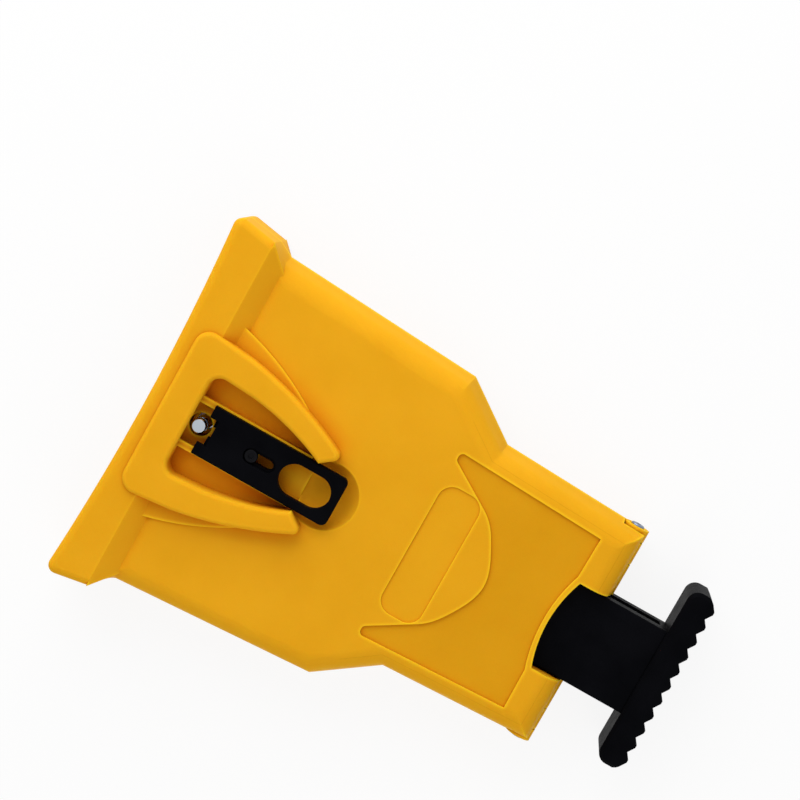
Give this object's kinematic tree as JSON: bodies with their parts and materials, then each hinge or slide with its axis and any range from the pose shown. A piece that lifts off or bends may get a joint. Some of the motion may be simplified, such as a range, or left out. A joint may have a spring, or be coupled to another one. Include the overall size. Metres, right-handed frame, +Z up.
{
  "type": "chainsaw sharpener",
  "caption": "Clamshell chainsaw sharpener that closes over a guide bar: hinged shells, sliding latch, pins for the bar, and a sprung plunger with a crescent stone.",
  "frame": {"origin": "below the middle of the whole part, on the flat bottom of the lower shell", "axes": "+X from the mouth for the guide bar to the push foot, +Z up from the lower shell to the latch"},
  "size_m": [0.2043, 0.1372, 0.037],
  "materials": {
    "housing": "satin moulded plastic, orange yellow",
    "black_plastic": "satin moulded plastic, black",
    "chrome_steel": "plated, bright",
    "steel": "zinc plated",
    "spring_steel": "bright drawn wire",
    "stone": "bonded abrasive, pink"
  },
  "bodies": {
    "base": {"lower_shell": "housing", "latch_pin": "chrome_steel", "locating_pin": "chrome_steel", "pin_screws": "steel", "pin_washers": "steel", "hinge_screws": "steel", "hinge_nuts": "steel", "return_spring": "spring_steel"},
    "lid": {"upper_shell": "housing", "latch_screw": "steel"},
    "latch": {"latch_slide": "black_plastic"},
    "plunger": {"carriage": "black_plastic", "push_foot": "black_plastic", "foot_screws": "steel", "grinding_stone": "stone"}
  },
  "joints": [
    {"name": "shell_hinge", "type": "hinge", "parent": "base", "child": "lid", "pos_m": [0.06605, 0, 0.016], "axis": [0, 1, 0], "range_deg": [0, 75]},
    {"name": "latch_travel", "type": "slide", "parent": "lid", "child": "latch", "axis": [-1, 0, 0], "range_m": [0, 0.0065]},
    {"name": "plunger_travel", "type": "slide", "parent": "base", "child": "plunger", "axis": [-1, 0, 0], "range_m": [0, 0.009], "stiffness_N_per_m": 400, "springref_m": -0.01, "deforming": ["return_spring"]}
  ]
}
